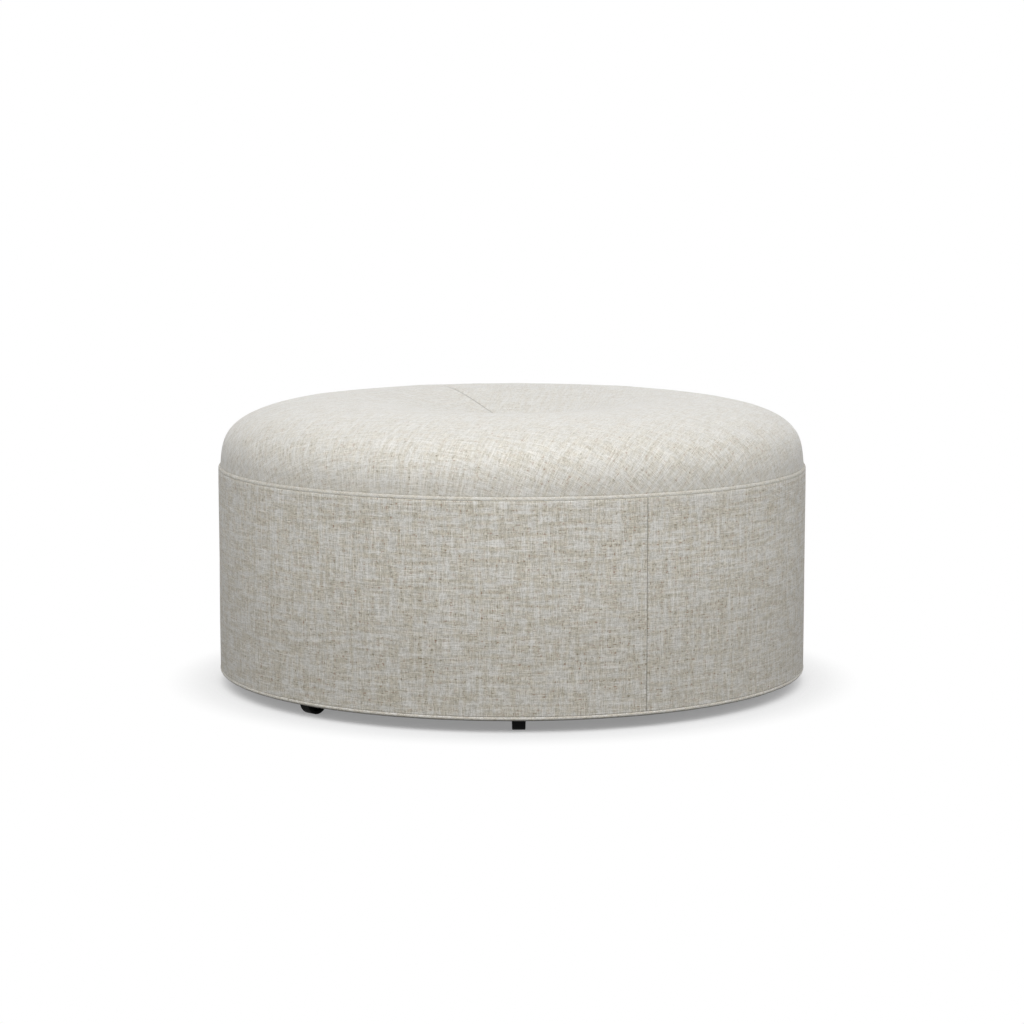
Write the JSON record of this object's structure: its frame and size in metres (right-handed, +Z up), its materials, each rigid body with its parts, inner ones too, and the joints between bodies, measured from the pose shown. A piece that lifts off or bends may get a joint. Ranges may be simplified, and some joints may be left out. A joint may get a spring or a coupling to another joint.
{
  "type": "ottoman",
  "caption": "Round upholstered ottoman with a crowned, hollowed cushion top and welted band, standing on hidden swivel casters.",
  "frame": {"origin": "on the floor, under the middle of the ottoman", "axes": "+Z up along the drum's axis, -Y towards the front, +X to the right seen from the front"},
  "size_m": [0.9902, 0.9902, 0.4748],
  "materials": {
    "cover_cloth": "matte",
    "welt_cloth": "matte",
    "wadding": "matte",
    "foam": "matte",
    "twine": "matte",
    "bent_plywood": "matte",
    "board_plywood": "matte",
    "softwood": "matte",
    "dust_cloth": "matte",
    "black_steel": "satin",
    "dark_steel": "satin",
    "zinc_steel": "satin",
    "washer_nylon": "matte",
    "black_rubber": "matte"
  },
  "bodies": {
    "root": {"crown_cover": "cover_cloth", "crown_wadding": "wadding", "seat_foam": "foam", "tuft_tie": "twine", "tuft_washer": "zinc_steel", "top_welt": "welt_cloth", "bottom_welt": "welt_cloth", "band_panel_right": "cover_cloth", "band_panel_left": "cover_cloth", "band_padding": "wadding", "wall_panel_back": "bent_plywood", "wall_panel_front": "bent_plywood", "frame_posts": "softwood", "seat_deck": "board_plywood", "base_board": "board_plywood", "dust_cover": "dust_cloth", "caster_plates": "black_steel", "kingpins": "zinc_steel", "thrust_washers": "washer_nylon", "plate_screws": "zinc_steel", "deck_screws": "zinc_steel", "base_screws": "zinc_steel"},
    "swivel_1": {"caster_fork_1": "black_steel", "caster_axle_1": "dark_steel"},
    "wheel_1": {"caster_wheel_1": "black_rubber"},
    "swivel_2": {"caster_fork_2": "black_steel", "caster_axle_2": "dark_steel"},
    "wheel_2": {"caster_wheel_2": "black_rubber"},
    "swivel_3": {"caster_fork_3": "black_steel", "caster_axle_3": "dark_steel"},
    "wheel_3": {"caster_wheel_3": "black_rubber"},
    "swivel_4": {"caster_fork_4": "black_steel", "caster_axle_4": "dark_steel"},
    "wheel_4": {"caster_wheel_4": "black_rubber"},
    "swivel_5": {"caster_fork_5": "black_steel", "caster_axle_5": "dark_steel"},
    "wheel_5": {"caster_wheel_5": "black_rubber"},
    "swivel_6": {"caster_fork_6": "black_steel", "caster_axle_6": "dark_steel"},
    "wheel_6": {"caster_wheel_6": "black_rubber"},
    "swivel_7": {"caster_fork_7": "black_steel", "caster_axle_7": "dark_steel"},
    "wheel_7": {"caster_wheel_7": "black_rubber"},
    "swivel_8": {"caster_fork_8": "black_steel", "caster_axle_8": "dark_steel"},
    "wheel_8": {"caster_wheel_8": "black_rubber"}
  },
  "joints": [
    {"name": "swivel_turn_1", "type": "hinge", "parent": "root", "child": "swivel_1", "pos_m": [0.00982, -0.43279, 0.0456], "axis": [0, 0, 1], "continuous": true},
    {"name": "wheel_roll_1", "type": "hinge", "parent": "swivel_1", "child": "wheel_1", "pos_m": [0.01039, -0.45778, 0.02065], "axis": [0.9997, 0.0227, 0], "continuous": true},
    {"name": "swivel_turn_2", "type": "hinge", "parent": "root", "child": "swivel_2", "pos_m": [0.31297, -0.29908, 0.0456], "axis": [0, 0, 1], "continuous": true},
    {"name": "wheel_roll_2", "type": "hinge", "parent": "swivel_2", "child": "wheel_2", "pos_m": [0.2949, -0.28181, 0.02065], "axis": [-0.6909, -0.723, 0], "continuous": true},
    {"name": "swivel_turn_3", "type": "hinge", "parent": "root", "child": "swivel_3", "pos_m": [0.43279, 0.00982, 0.0456], "axis": [0, 0, 1], "continuous": true},
    {"name": "wheel_roll_3", "type": "hinge", "parent": "swivel_3", "child": "wheel_3", "pos_m": [0.41086, 0.02183, 0.02065], "axis": [-0.4802, -0.8771, 0], "continuous": true},
    {"name": "swivel_turn_4", "type": "hinge", "parent": "root", "child": "swivel_4", "pos_m": [0.29908, 0.31297, 0.0456], "axis": [0, 0, 1], "continuous": true},
    {"name": "wheel_roll_4", "type": "hinge", "parent": "swivel_4", "child": "wheel_4", "pos_m": [0.30287, 0.33769, 0.02065], "axis": [-0.9885, 0.1513, 0], "continuous": true},
    {"name": "swivel_turn_5", "type": "hinge", "parent": "root", "child": "swivel_5", "pos_m": [-0.00982, 0.43279, 0.0456], "axis": [0, 0, 1], "continuous": true},
    {"name": "wheel_roll_5", "type": "hinge", "parent": "swivel_5", "child": "wheel_5", "pos_m": [-0.00492, 0.40828, 0.02065], "axis": [0.9806, 0.1959, 0], "continuous": true},
    {"name": "swivel_turn_6", "type": "hinge", "parent": "root", "child": "swivel_6", "pos_m": [-0.31297, 0.29908, 0.0456], "axis": [0, 0, 1], "continuous": true},
    {"name": "wheel_roll_6", "type": "hinge", "parent": "swivel_6", "child": "wheel_6", "pos_m": [-0.31572, 0.32393, 0.02065], "axis": [-0.994, -0.1097, 0], "continuous": true},
    {"name": "swivel_turn_7", "type": "hinge", "parent": "root", "child": "swivel_7", "pos_m": [-0.43279, -0.00982, 0.0456], "axis": [0, 0, 1], "continuous": true},
    {"name": "wheel_roll_7", "type": "hinge", "parent": "swivel_7", "child": "wheel_7", "pos_m": [-0.40911, -0.01784, 0.02065], "axis": [0.3206, 0.9472, 0], "continuous": true},
    {"name": "swivel_turn_8", "type": "hinge", "parent": "root", "child": "swivel_8", "pos_m": [-0.29908, -0.31297, 0.0456], "axis": [0, 0, 1], "continuous": true},
    {"name": "wheel_roll_8", "type": "hinge", "parent": "swivel_8", "child": "wheel_8", "pos_m": [-0.31636, -0.33105, 0.02065], "axis": [0.723, -0.6909, 0], "continuous": true}
  ]
}
